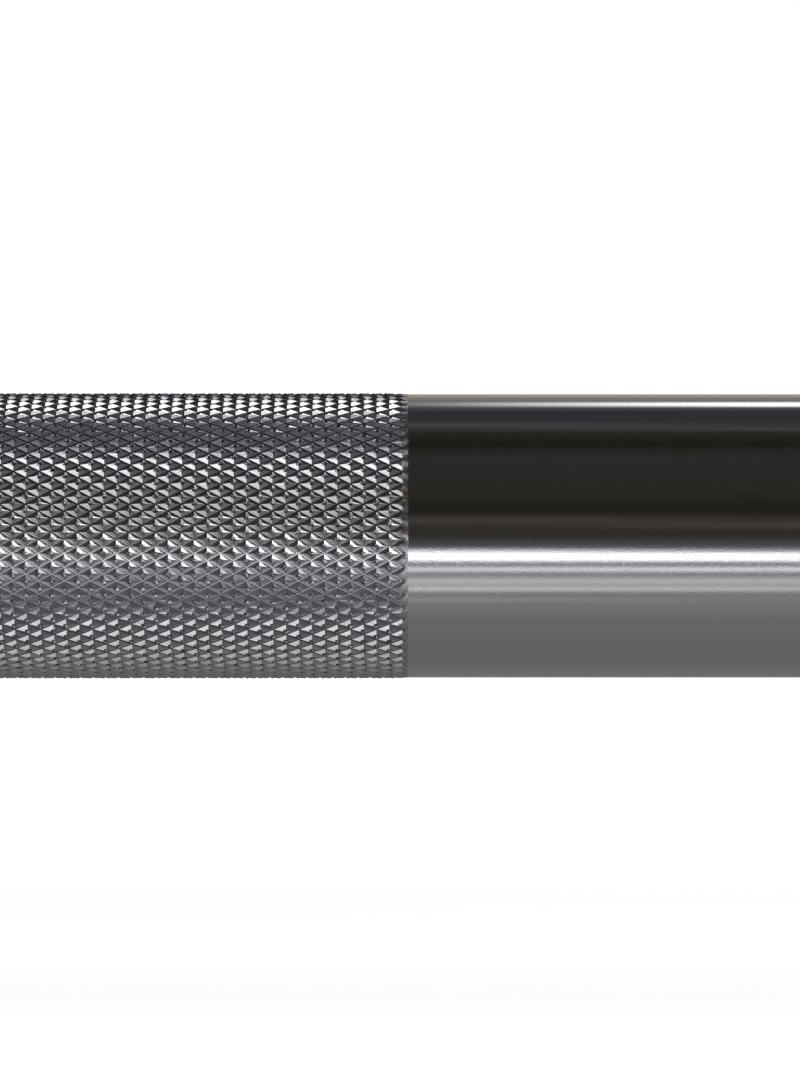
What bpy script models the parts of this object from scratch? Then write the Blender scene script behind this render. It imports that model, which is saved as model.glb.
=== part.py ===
import math

import bmesh
import bpy

# Powerlifting bar. X runs along the bar and Z is up; the origin is the middle of the shaft, on its axis.
# Each end holds a sleeve that spins freely on two bronze bushings between a shoulder of the shaft and a
# retaining ring. Positions below are distances from the middle of the bar, in metres.

# Driving dimensions
bar_length = 2.200
between_collars = 1.310
shaft_diameter = 0.029
sleeve_diameter = 0.050
collar_diameter = 0.078
collar_width = 0.030

# Gap between pieces that touch, in place of a press fit or a film of oil
fit_gap = 0.0003

# The collar's mouth, which holds the seal: how much wider than the shaft all round, and how deep
seal_room = 0.0034
seal_mouth_length = 0.0070

# A shallow recess in the collar's outer face takes the sleeve's shoulder, so that plates meet a flat face
shoulder_recess = 0.0010

# Running parts
journal_diameter = 0.026
sleeve_bore = 0.0326
spigot_diameter = 0.044
shoulder_at = 0.668
shaft_end_at = 1.080
inner_bushing_length = 0.070
outer_bushing_length = 0.060
outer_bushing_end_at = 1.066
bushing_chamfer = 0.0005
washer_thickness = 0.0020
wave_count = 3
wave_height = 0.00045
wave_strip = 0.0006
ring_groove_depth = 0.0010
ring_groove_width = 0.0021

# Open spring rings: radius of the free edge and of the eared ends, and the opening in degrees
shaft_ring_edge = 0.0148
shaft_ring_ear = 0.0157
shaft_ring_opening = 24
cap_ring_edge = 0.0188
cap_ring_ear = 0.0166
cap_ring_opening = 30

# Sleeve mouth and its cap
mouth_depth = 0.012
mouth_diameter = 0.042
cap_thickness = 0.005
cap_groove_depth = 0.0012
cap_groove_width = 0.0021

# Knurl: whole diamonds, so that both ends of a band cut through the middle of a row of them
diamond_length = 0.00258
knurl_proud = 0.00015
run_out = 0.00053
centre_diamonds = 46
inner_grip_diamonds = 75
outer_grip_diamonds = 91
ring_mark_at = 0.405
ring_mark_width = 0.004

# Facets round each turned piece
shaft_facets = 40
sleeve_facets = 40
small_facets = 32
wave_facets = 36
collar_facets = 32


def finish(name, colour, roughness, metallic):
    made = bpy.data.materials.new(name)
    made.use_nodes = True
    shader = made.node_tree.nodes["Principled BSDF"]
    shader.inputs["Base Color"].default_value = (*colour, 1.0)
    shader.inputs["Roughness"].default_value = roughness
    shader.inputs["Metallic"].default_value = metallic
    made.diffuse_color = (*colour, 1.0)
    return made


def place(obj, material, at, parent=None):
    # Put a piece on the bar's axis, under its sleeve's empty where it has one
    obj.data.materials.append(material)
    bpy.context.scene.collection.objects.link(obj)
    obj.parent = parent
    obj.location.x = at - (parent.location.x if parent else 0.0)
    return obj


def turned(name, profile, material, facets, side=1, parent=None, wave=None):
    # Turn a profile of (distance from the middle, radius) round the bar's axis. A profile that starts
    # and ends at radius 0 gives a solid bar, any other one is a closed loop and gives a ring.
    start = 0.0 if profile[0][0] < 0 else min(x for x, _ in profile)
    solid = profile[0][1] == 0
    half_facet = math.pi / facets
    mesh = bmesh.new()
    verts = [
        mesh.verts.new(
            (side * (x - start), -r * math.sin(half_facet), r * math.cos(half_facet))
        )
        for x, r in profile
    ]
    links = list(zip(verts, verts[1:])) + ([] if solid else [(verts[-1], verts[0])])
    edges = [mesh.edges.new(pair) for pair in links]
    bmesh.ops.spin(
        mesh,
        geom=verts + edges,
        cent=(0, 0, 0),
        axis=(1, 0, 0),
        angle=2 * math.pi,
        steps=facets,
    )
    bmesh.ops.remove_doubles(mesh, verts=mesh.verts, dist=0.000002)
    if wave:
        count, height = wave
        for vert in mesh.verts:
            vert.co.x += side * height * math.sin(count * math.atan2(vert.co.z, vert.co.y))
    bmesh.ops.recalc_face_normals(mesh, faces=mesh.faces)
    data = bpy.data.meshes.new(name)
    mesh.to_mesh(data)
    mesh.free()
    data.shade_smooth()
    data.set_sharp_from_angle(angle=math.radians(30))
    return place(bpy.data.objects.new(name, data), material, side * start, parent)


def chamfered(start, end, inner, outer, cut):
    # Profile of a plain ring with its four edges broken
    return [
        (start + cut, inner),
        (start, inner + cut),
        (start, outer - cut),
        (start + cut, outer),
        (end - cut, outer),
        (end, outer - cut),
        (end, inner + cut),
        (end - cut, inner),
    ]


def snap_ring(name, start, thickness, seat, edge, ear, opening, material, side, parent=None):
    # An open spring ring: seat is the radius that sits in the groove, edge the other radius, opposite
    # the opening, and ear how far its two ends reach. Each ear has a hole for pliers.
    ear_angle = math.radians(15)
    half_gap = math.radians(opening) / 2
    ear_end = half_gap + ear_angle
    shoulder = math.radians(4)
    thinning = 0.30
    steps = 30
    hole_facets = 12

    def free_edge(angle):
        # The section is widest opposite the gap, and steps out to the ear beside it
        from_gap = min(angle, 2 * math.pi - angle)
        if from_gap <= ear_end:
            return ear
        share = 1 - thinning * (1 + math.cos(from_gap)) / 2
        return seat + (edge - seat) * share

    first, last = half_gap, 2 * math.pi - half_gap
    angles = [first + (last - first) * i / steps for i in range(steps + 1)]
    angles += [ear_end, ear_end + shoulder]
    angles += [2 * math.pi - a for a in angles[-2:]]
    angles.sort()
    outline = [(a, seat) for a in angles] + [(a, free_edge(a)) for a in reversed(angles)]

    shape = bpy.data.curves.new(name, "CURVE")
    shape.dimensions = "2D"
    shape.fill_mode = "BOTH"
    shape.extrude = thickness / 2

    def closed_line(points):
        line = shape.splines.new("POLY")
        line.points.add(len(points) - 1)
        for point, (x, y) in zip(line.points, points):
            point.co = (x, y, 0.0, 1.0)
        line.use_cyclic_u = True

    closed_line([(r * math.sin(a), r * math.cos(a)) for a, r in outline])
    hole_radius = abs(ear - seat) / 4
    for end in (-1, 1):
        angle = end * (half_gap + ear_angle / 2)
        middle = (seat + ear) / 2
        x, y = middle * math.sin(angle), middle * math.cos(angle)
        turn = [2 * math.pi * i / hole_facets for i in range(hole_facets)]
        closed_line(
            [(x + hole_radius * math.cos(t), y + hole_radius * math.sin(t)) for t in turn]
        )
    at = side * (start + thickness / 2)
    ring = place(bpy.data.objects.new(name, shape), material, at, parent)
    # The outline's own Y points up, and its thickness lies along the bar
    ring.rotation_euler = (math.pi / 2, 0.0, math.pi / 2)
    return ring


def knurl_bands():
    # Each band is (inner end, outer end) on the bar's right half, both at the middle of a diamond
    centre = centre_diamonds * diamond_length / 2
    inner_end = ring_mark_at - ring_mark_width / 2
    outer_start = ring_mark_at + ring_mark_width / 2
    return centre, [
        (inner_end - inner_grip_diamonds * diamond_length, inner_end),
        (outer_start, outer_start + outer_grip_diamonds * diamond_length),
    ]


def shaft(material, ring_groove_at):
    # Knurled bands stand slightly proud; the shaft steps down to a journal inside each sleeve
    smooth = shaft_diameter / 2
    tips = smooth + knurl_proud
    journal = journal_diameter / 2
    bottom = journal - ring_groove_depth
    bevel = 0.0003
    lead = 0.0015
    centre, bands = knurl_bands()
    half = [(centre, tips), (centre + run_out, smooth)]
    for first, last in bands:
        half += [
            (first - run_out, smooth),
            (first, tips),
            (last, tips),
            (last + run_out, smooth),
        ]
    half += [
        (shoulder_at - bevel, smooth),
        (shoulder_at, smooth - bevel),
        (shoulder_at, journal),
        (ring_groove_at, journal),
        (ring_groove_at, bottom),
        (ring_groove_at + ring_groove_width, bottom),
        (ring_groove_at + ring_groove_width, journal),
        (shaft_end_at - lead, journal),
        (shaft_end_at, journal - lead),
        (shaft_end_at, 0.0),
    ]
    mirrored = [(-x, r) for x, r in reversed(half)]
    return turned("shaft", mirrored + half, material, shaft_facets)


def collar(hand, side, material, parent):
    # The stop that plates rest against, bored to sit over the sleeve's spigot
    inner_face = between_collars / 2
    outer_face = inner_face + collar_width
    outer = collar_diameter / 2
    edge = 0.0025
    mouth = shaft_diameter / 2 + seal_room
    # The facets of these bores come nearer to the axis than their corners do
    seat = (spigot_diameter / 2 + fit_gap) / math.cos(math.pi / collar_facets)
    recess = (sleeve_diameter / 2 + fit_gap) / math.cos(math.pi / collar_facets)
    step = inner_face + seal_mouth_length
    relief = 0.0008
    profile = [
        (inner_face, mouth + relief),
        (inner_face, outer - edge),
        (inner_face + edge, outer),
        (outer_face - edge, outer),
        (outer_face, outer - edge),
        (outer_face, recess),
        (outer_face - shoulder_recess, recess),
        (outer_face - shoulder_recess, seat),
        (step, seat),
        (step, mouth),
        (inner_face + relief, mouth),
    ]
    return turned(hand + "_collar", profile, material, collar_facets, side, parent)


def dust_seal(hand, side, material, parent):
    # A rubber ring in the collar's mouth, with a lip that all but touches the shaft
    start = between_collars / 2 + 2 * fit_gap
    end = between_collars / 2 + seal_mouth_length
    flats = math.cos(math.pi / collar_facets)
    outer = (shaft_diameter / 2 + seal_room) * flats - fit_gap
    lip = shaft_diameter / 2 + fit_gap
    body = lip + 0.0011
    corner = 0.0004
    lip_width = 0.0010
    profile = [
        (start, outer - corner),
        (start + corner, outer),
        (end, outer),
        (end, body),
        (start + lip_width + body - lip, body),
        (start + lip_width, lip),
        (start + corner, lip),
        (start, lip + corner),
    ]
    return turned(hand + "_dust_seal", profile, material, small_facets, side, parent)


def cap_groove_start():
    # The cap sits on the floor of the mouth, and its ring's groove starts just beyond it
    return bar_length / 2 - mouth_depth + fit_gap + cap_thickness + fit_gap / 2


def sleeve_tube(hand, side, material, parent):
    # Bored from end to end: a spigot inside the collar, the plate-bearing length, a mouth for the cap
    outer = sleeve_diameter / 2
    bore = sleeve_bore / 2
    spigot = spigot_diameter / 2
    spigot_at = between_collars / 2 + seal_mouth_length + fit_gap
    shoulder = between_collars / 2 + collar_width - shoulder_recess + fit_gap
    end = bar_length / 2
    mouth_at = end - mouth_depth
    mouth = mouth_diameter / 2
    groove_at = cap_groove_start()
    groove = mouth + cap_groove_depth
    outer_lead = 0.0025
    mouth_lead = 0.0010
    profile = [
        (spigot_at, bore),
        (spigot_at, spigot),
        (shoulder, spigot),
        (shoulder, outer),
        (end - outer_lead, outer),
        (end, outer - outer_lead),
        (end, mouth + mouth_lead),
        (end - mouth_lead, mouth),
        (groove_at + cap_groove_width, mouth),
        (groove_at + cap_groove_width, groove),
        (groove_at, groove),
        (groove_at, mouth),
        (mouth_at, mouth),
        (mouth_at, bore),
    ]
    return turned(hand + "_sleeve_tube", profile, material, sleeve_facets, side, parent)


def bushing(name, start, length, side, material, parent):
    inner = journal_diameter / 2 + fit_gap
    outer = sleeve_bore / 2 - fit_gap
    profile = chamfered(start, start + length, inner, outer, bushing_chamfer)
    return turned(name, profile, material, small_facets, side, parent)


def thrust_washer(name, start, side, material):
    inner = journal_diameter / 2 + fit_gap
    outer = sleeve_bore / 2 - fit_gap
    end = start + washer_thickness
    profile = [(start, inner), (start, outer), (end, outer), (end, inner)]
    return turned(name, profile, material, small_facets, side)


def wave_spring(hand, start, side, material, parent):
    inner = journal_diameter / 2 + fit_gap
    outer = sleeve_bore / 2 - fit_gap
    flat = start + wave_height
    profile = [
        (flat, inner),
        (flat, outer),
        (flat + wave_strip, outer),
        (flat + wave_strip, inner),
    ]
    name = hand + "_wave_spring"
    waves = (wave_count, wave_height)
    return turned(name, profile, material, wave_facets, side, parent, wave=waves)


def end_cap(hand, side, material, parent):
    # A turned plug that closes the sleeve's mouth, shallowly dished on its outer face
    start = bar_length / 2 - mouth_depth + fit_gap
    end = start + cap_thickness
    outer = mouth_diameter / 2 - fit_gap
    bevel = 0.0006
    rim = outer - 0.0045
    dish = 0.0010
    profile = [
        (start, 0.0),
        (start, outer - bevel),
        (start + bevel, outer),
        (end - bevel, outer),
        (end, outer - bevel),
        (end, rim),
        (end - dish, rim - dish),
        (end - dish, 0.0),
    ]
    return turned(hand + "_end_cap", profile, material, small_facets, side, parent)


def build():
    for obj in list(bpy.data.objects):
        bpy.data.objects.remove(obj, do_unlink=True)

    chrome = finish("hard_chrome", (0.60, 0.59, 0.575), 0.12, 1.0)
    bronze = finish("oiled_bronze", (0.62, 0.38, 0.17), 0.35, 1.0)
    steel = finish("spring_steel", (0.38, 0.38, 0.40), 0.30, 1.0)
    rubber = finish("black_rubber", (0.018, 0.018, 0.018), 0.65, 0.0)
    aluminium = finish("turned_aluminium", (0.78, 0.78, 0.79), 0.25, 1.0)

    # Along each journal, from the shoulder outwards, every piece follows the last with the same gap
    inner_washer_at = shoulder_at + fit_gap
    inner_bushing_at = inner_washer_at + washer_thickness + fit_gap
    outer_bushing_at = outer_bushing_end_at - outer_bushing_length
    wave_spring_at = outer_bushing_end_at + fit_gap
    outer_washer_at = wave_spring_at + wave_strip + 2 * wave_height + fit_gap
    ring_groove_at = outer_washer_at + washer_thickness + fit_gap / 2
    shaft(chrome, ring_groove_at)

    for hand, side in (("left", -1), ("right", 1)):
        axis = bpy.data.objects.new(hand + "_sleeve_axis", None)
        axis.location.x = side * between_collars / 2
        bpy.context.scene.collection.objects.link(axis)

        collar(hand, side, chrome, axis)
        dust_seal(hand, side, rubber, axis)
        sleeve_tube(hand, side, chrome, axis)
        thrust_washer(hand + "_inner_thrust_washer", inner_washer_at, side, steel)
        bushing(
            hand + "_inner_bushing", inner_bushing_at, inner_bushing_length, side, bronze, axis
        )
        bushing(
            hand + "_outer_bushing", outer_bushing_at, outer_bushing_length, side, bronze, axis
        )
        wave_spring(hand, wave_spring_at, side, steel, axis)
        thrust_washer(hand + "_outer_thrust_washer", outer_washer_at, side, steel)
        snap_ring(
            hand + "_shaft_retaining_ring",
            start=ring_groove_at + fit_gap / 2,
            thickness=ring_groove_width - fit_gap,
            seat=journal_diameter / 2 - ring_groove_depth + fit_gap,
            edge=shaft_ring_edge,
            ear=shaft_ring_ear,
            opening=shaft_ring_opening,
            material=steel,
            side=side,
        )
        end_cap(hand, side, aluminium, axis)
        snap_ring(
            hand + "_end_cap_snap_ring",
            start=cap_groove_start() + fit_gap / 2,
            thickness=cap_groove_width - fit_gap,
            seat=mouth_diameter / 2 + cap_groove_depth - fit_gap,
            edge=cap_ring_edge,
            ear=cap_ring_ear,
            opening=cap_ring_opening,
            material=steel,
            side=side,
            parent=axis,
        )


build()
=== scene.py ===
import math

import bmesh
import bpy
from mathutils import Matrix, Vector


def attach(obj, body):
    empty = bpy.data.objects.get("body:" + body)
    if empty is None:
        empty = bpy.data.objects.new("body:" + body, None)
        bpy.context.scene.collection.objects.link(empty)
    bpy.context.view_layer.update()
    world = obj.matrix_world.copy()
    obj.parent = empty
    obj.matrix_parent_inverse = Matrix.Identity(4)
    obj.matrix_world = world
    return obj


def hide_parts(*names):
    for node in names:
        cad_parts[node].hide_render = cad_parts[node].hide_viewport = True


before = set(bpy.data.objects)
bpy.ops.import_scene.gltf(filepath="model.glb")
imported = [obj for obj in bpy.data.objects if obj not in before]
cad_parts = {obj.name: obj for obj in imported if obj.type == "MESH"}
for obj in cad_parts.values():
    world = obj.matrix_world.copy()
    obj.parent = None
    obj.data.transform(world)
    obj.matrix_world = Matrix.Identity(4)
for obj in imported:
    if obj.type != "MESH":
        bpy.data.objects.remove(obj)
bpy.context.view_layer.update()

mm = 0.001
hair = 0.001 * mm  # closer than this, two points are taken as one
scene = bpy.context.scene

# What the knurl and the plain shaft share, as the CAD has it. A band's two ends are in millimetres from
# the middle of the bar, and the grip and end bands are there on the left too.
bar = {
    "smoothRadius": 14.5 * mm,
    "centreBand": (-59.34, 59.34),
    "gripBand": (209.50, 403.00),
    "endBand": (407.00, 641.78),
}


def giveSocket(tree, socket, value):
    if isinstance(value, bpy.types.NodeSocket):
        tree.links.new(value, socket)
    else:
        socket.default_value = value


def addNode(tree, kind, inputs=None, **settings):
    made = tree.nodes.new(kind)
    for key, value in settings.items():
        setattr(made, key, value)
    for key, value in (inputs or {}).items():
        giveSocket(tree, made.inputs[key], value)
    return made


def mathNode(tree, operation, *values, clamp=False):
    made = addNode(tree, "ShaderNodeMath", operation=operation, use_clamp=clamp)
    for socket, value in zip(made.inputs, values):
        giveSocket(tree, socket, value)
    return made.outputs[0]


def noiseNode(tree, place, scale, detail, roughness=0.6):
    return addNode(tree, "ShaderNodeTexNoise", {
        "Vector": place, "Scale": scale, "Detail": detail, "Roughness": roughness,
    }).outputs["Fac"]


def rangeNode(tree, value, given, wanted=(0.0, 1.0), kind="LINEAR"):
    # Stretch the given range of a value over the wanted one, and hold it at both ends
    return addNode(tree, "ShaderNodeMapRange", {
        "Value": value, "From Min": given[0], "From Max": given[1], "To Min": wanted[0], "To Max": wanted[1],
    }, interpolation_type=kind).outputs[0]


def addBump(tree, shader, height, strength=1.0, distance=1.0):
    bump = addNode(tree, "ShaderNodeBump", {"Height": height, "Strength": strength, "Distance": distance})
    tree.links.new(bump.outputs[0], shader.inputs["Normal"])


def newObject(name, data):
    made = bpy.data.objects.new(name, data)
    scene.collection.objects.link(made)
    return made


cameraSettings = {
    "place": (-209.72 * mm, -450.0 * mm, 0.245 * mm),
    "focalPixels": 4394,
    "longSidePixels": 1067,
    "sensorWidth": 36.0,
    "nearest": 0.02,
    "farthest": 200.0,
}


def addCamera():
    data = bpy.data.cameras.new("camera")
    data.sensor_width = cameraSettings["sensorWidth"]
    data.lens = data.sensor_width * cameraSettings["focalPixels"] / cameraSettings["longSidePixels"]
    data.clip_start = cameraSettings["nearest"]
    data.clip_end = cameraSettings["farthest"]
    camera = newObject("camera", data)
    camera.location = cameraSettings["place"]
    camera.rotation_euler = (math.pi / 2, 0.0, 0.0)
    scene.camera = camera


addCamera()
print("camera placed")


knurl = {
    "rowsAround": 64,
    "halfLength": 1.29 * mm,
    "floorRadius": 14.26 * mm,
    "innerRadius": 14.03 * mm,  # the hidden inside of a length of knurl
    "neckRadius": 14.0 * mm,  # the shaft's core under it
    "firstAngle": math.radians(1.45),
    "floorHalfWidth": 0.044 * mm,
    "footReach": 0.072 * mm,  # a flank's steep foot ends here, measured from the groove's middle
    "footHeight": 0.058 * mm,
    "flankSlope": math.tan(math.radians(37.5)),
    "ragged": 0.040 * mm,
    "raggedScale": 2600.0,
    "raggedSeed": 7.0,
    "pitRagged": 0.4,  # share of that push at the bottom of a pit
    "endLength": 0.60 * mm,
    "smoothHeight": 0.24 * mm,
    "mergeDistance": 0.002 * mm,
    # Half diamonds in each length of a band
    "centreHalves": 46,
    "gripHalves": 75,
    "endHalves": 60,
    "middleHalves": 62,
    # unshadedClean is a face's share of bright clean chrome, and a lower share makes it darker and rougher.
    # The steep feet of the grooves get none of it: painted shade in the creases.
    "dullFlank": 0.82,  # the upper-left flank of each diamond, darker and rougher than the others
    "pitMark": 0.9,  # only the pits have this value, and the material finds them by it
}
knurl["halfRow"] = math.pi * bar["smoothRadius"] / knurl["rowsAround"]

# The punched tip of a diamond: eight points of its rim, from the right-hand ridge round, as
# (along, round, height above the flank or ridge there), and the bottom of the pit inside them
tipRim = [
    (0.34, 0.00, 0.000), (0.21, 0.17, 0.022), (0.00, 0.25, 0.006), (-0.22, 0.18, 0.005),
    (-0.33, 0.00, 0.000), (-0.20, -0.18, 0.004), (0.00, -0.26, 0.004), (0.20, -0.17, 0.020),
]
tipPit = (-0.01, 0.00, 0.165)

# The last diamond of a row: points as (along, round, height above the grooves' floor, raggedness), in
# millimetres from its middle. Where the height is None, the point lies on the plain flank.
lastDiamond = {
    "back": (-0.50, 0.0, None, 0.5),
    "crown": (-0.10, 0.0, 0.292, 0.5),
    "nose": (0.26, 0.0, 0.265, 0.25),
    "shoulderBack": (-0.24, 0.16, None, 1.0),
    "shoulder": (0.0, 0.30, None, 0.5),
    "noseSide": (0.30, 0.27, 0.256, 0.25),
    "wallTop": (0.12, 0.47, 0.222, 0.3),
}
# The same for the wall that ends a groove, but with the second number measured from the groove's middle
wallPoints = {
    "wallMiddle": (0.34, 0.0, 0.200, 0.0),
    "wallSide": (0.36, 0.14, 0.220, 0.2),
}
# Where the end's last edge bends: from the groove's middle, and from the diamond's
lastEdge = {"side": 0.2 * mm, "top": 0.26 * mm}
# Shares of bright clean chrome on the last diamond's faces: a lower share is darker and rougher, and on the
# walls that end the grooves it is painted shade
endUnshadedClean = {
    "crownBack": 0.5,
    "crownSide": 0.6,
    "wallFront": 0.3,
    "wallEdge": 0.2,
    "wallShoulder": 0.35,
    "runOut": 0.80,
    "runOutEnd": 0.75,
}

# Each band is made in two or three lengths that meet where a row of diamonds is cut in the middle:
# (name, where its smooth end is, which way that end faces, how many half diamonds long, ends smooth)
knurlPieces = [
    ("knurl_centre_left", bar["centreBand"][0] * mm, -1, knurl["centreHalves"], True),
    ("knurl_centre_right", bar["centreBand"][1] * mm, 1, knurl["centreHalves"], True),
]
for hand, side in (("left", -1), ("right", 1)):
    gripStart, gripEnd = [side * place * mm for place in bar["gripBand"]]
    endStart, endEnd = [side * place * mm for place in bar["endBand"]]
    middleEnd = endStart + side * (knurl["endHalves"] + knurl["middleHalves"]) * knurl["halfLength"]
    knurlPieces += [
        (f"knurl_{hand}_grip_inner", gripStart, -side, knurl["gripHalves"], True),
        (f"knurl_{hand}_grip_outer", gripEnd, side, knurl["gripHalves"], True),
        (f"knurl_{hand}_end_inner", endStart, -side, knurl["endHalves"], True),
        (f"knurl_{hand}_end_middle", middleEnd, side, knurl["middleHalves"], False),
        (f"knurl_{hand}_end_outer", endEnd, side, knurl["endHalves"], True),
    ]


def meshFrom(name, points, faces, tips):
    # Faces are (corners, group, unshadedClean): within a group they are shaded as one curve, and each None is
    # flat
    mesh = bmesh.new()
    tip = mesh.verts.layers.float.new("tip")
    unshadedCleanLayer = mesh.faces.layers.float.new("unshadedClean")
    verts = [mesh.verts.new(point) for point in points]
    for vert, value in zip(verts, tips):
        vert[tip] = value
    groups = {}
    for corners, group, unshadedClean in faces:
        face = mesh.faces.new([verts[i] for i in corners])
        face.smooth = group is not None
        face[unshadedCleanLayer] = unshadedClean
        groups[face] = group
    for edge in mesh.edges:
        edge.smooth = len({groups[face] for face in edge.link_faces}) == 1
    bmesh.ops.recalc_face_normals(mesh, faces=mesh.faces)
    mesh.normal_update()
    if sum(face.normal.z for face in mesh.faces) < 0:
        bmesh.ops.reverse_faces(mesh, faces=mesh.faces)
    data = bpy.data.meshes.new(name)
    mesh.to_mesh(data)
    mesh.free()
    return data


def flankHeight(x, y):
    # Height of the plain pyramid over a point of a diamond, in metres
    a, b = knurl["halfLength"], knurl["halfRow"]
    fromGroove = (a * b - b * abs(x) - a * abs(y)) / math.hypot(a, b)
    return knurl["footHeight"] + max(0.0, fromGroove - knurl["footReach"]) * knurl["flankSlope"]


def inset(reach):
    # How far a line at this distance from the groove's middle lies inside a diamond's corners
    a, b = knurl["halfLength"], knurl["halfRow"]
    return reach * math.hypot(a, b) / b, reach * math.hypot(a, b) / a


def cornersAt(reach, height):
    a, b = knurl["halfLength"], knurl["halfRow"]
    along, around = inset(reach)
    return [
        (a - along, 0, height), (0, b - around, height),
        (-a + along, 0, height), (0, -b + around, height),
    ]


def diamondMesh():
    # One diamond, flat: X along the bar, Y round it, Z out from the floor of the grooves
    points = cornersAt(0.0, 0.0) + cornersAt(knurl["floorHalfWidth"], 0.0)
    points += cornersAt(knurl["footReach"], knurl["footHeight"])
    for along, around, lift in tipRim:
        x, y = along * mm, around * mm
        points.append((x, y, flankHeight(x, y) + lift * mm))
    points.append(tuple(value * mm for value in tipPit))
    floor, foot, rim, pit = 4, 8, 12, 20  # where each ring of points starts
    faces = []
    for i in range(4):
        j = (i + 1) % 4
        first, middle, last = [rim + (2 * i + k) % 8 for k in range(3)]
        flank = knurl["dullFlank"] if i == 1 else 1.0
        faces += [
            ((i, j, floor + j, floor + i), None, 1.0),
            # The steep feet get no bright chrome: painted shade in the creases of the grooves
            ((floor + i, floor + j, foot + j, foot + i), None, 0.0),
            ((foot + i, foot + j, middle), None, flank),
            ((foot + i, middle, first), None, flank),
            ((foot + j, last, middle), None, flank),
            ((first, middle, pit), "pit", knurl["pitMark"]),
            ((middle, last, pit), "pit", knurl["pitMark"]),
        ]
    tips = [0.0] * rim + [1.0] * len(tipRim) + [knurl["pitRagged"]]
    return meshFrom("diamond", points, faces, tips)


def endMesh():
    # The last diamond of a row: its inner flanks are whole, its top is blunt, and just past its middle
    # the grooves beside it end in a short wall, so that the rest is almost level with the smooth shaft
    a, b = knurl["halfLength"], knurl["halfRow"]
    floorAlong, floorRound = inset(knurl["floorHalfWidth"])
    footAlong, footRound = inset(knurl["footReach"])
    foot = knurl["footHeight"]
    end, top = knurl["endLength"], knurl["smoothHeight"]
    points, tips, faces = [], [], []

    def point(x, y, z, tip=0.0):
        points.append((x, y, z))
        tips.append(tip)
        return len(points) - 1

    def onDiamond(name, side=1):
        along, around, height, tip = lastDiamond[name]
        x, y = along * mm, side * around * mm
        return point(x, y, flankHeight(x, y) if height is None else height * mm, tip)

    def onWall(name, side):
        along, fromGroove, height, tip = wallPoints[name]
        return point(along * mm, side * (b - fromGroove * mm), height * mm, tip)

    corner = point(-a, 0, 0)
    floorCorner = point(-a + floorAlong, 0, 0)
    footCorner = point(-a + footAlong, 0, foot)
    back = onDiamond("back")
    crown = onDiamond("crown")
    nose = onDiamond("nose")
    finish = point(end, 0, top)
    for side in (1, -1):
        crossing = point(0, side * b, 0)
        floorEdge = point(0, side * (b - floorRound), 0)
        footEdge = point(0, side * (b - footRound), foot)
        shoulderBack = onDiamond("shoulderBack", side)
        shoulder = onDiamond("shoulder", side)
        noseSide = onDiamond("noseSide", side)
        wallMiddle = onWall("wallMiddle", side)
        wallSide = onWall("wallSide", side)
        wallTop = onDiamond("wallTop", side)
        lastMiddle = point(end, side * b, top)
        lastSide = point(end, side * (b - lastEdge["side"]), top)
        lastTop = point(end, side * lastEdge["top"], top)
        land, lens = f"land {side}", "lens"
        flank = knurl["dullFlank"] if side > 0 else 1.0
        faces += [
            ((corner, crossing, floorEdge, floorCorner), None, 1.0),
            # The steep foot gets no bright chrome: painted shade in the groove's crease
            ((floorCorner, floorEdge, footEdge, footCorner), None, 0.0),
            ((footCorner, footEdge, shoulder), None, flank),
            ((footCorner, shoulder, shoulderBack), None, flank),
            ((footCorner, shoulderBack, back), None, flank),
            ((back, shoulderBack, crown), None, endUnshadedClean["crownBack"]),
            ((shoulderBack, shoulder, crown), None, endUnshadedClean["crownSide"]),
            # The walls that end the grooves, and the foot beside them, are darkened: painted shade in the
            # recess
            ((crossing, wallMiddle, wallSide), None, endUnshadedClean["wallFront"]),
            ((crossing, wallSide, floorEdge), None, endUnshadedClean["wallFront"]),
            ((floorEdge, wallSide, footEdge), None, 0.0),
            ((footEdge, wallSide, wallTop), None, endUnshadedClean["wallEdge"]),
            ((footEdge, wallTop, shoulder), None, endUnshadedClean["wallShoulder"]),
            ((wallMiddle, lastMiddle, lastSide), land, endUnshadedClean["runOut"]),
            ((wallMiddle, lastSide, wallSide), land, endUnshadedClean["runOut"]),
            ((wallSide, lastSide, wallTop), land, endUnshadedClean["runOutEnd"]),
            ((wallTop, lastSide, lastTop), land, endUnshadedClean["runOutEnd"]),
            ((wallTop, lastTop, noseSide), land, endUnshadedClean["runOutEnd"]),
            ((shoulder, wallTop, noseSide), lens, endUnshadedClean["runOut"]),
            ((shoulder, noseSide, crown), lens, endUnshadedClean["runOut"]),
            ((crown, noseSide, nose), lens, endUnshadedClean["runOut"]),
            ((noseSide, lastTop, finish), lens, endUnshadedClean["runOutEnd"]),
            ((noseSide, finish, nose), lens, endUnshadedClean["runOutEnd"]),
        ]
    return meshFrom("knurl end", points, faces, tips)


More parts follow.
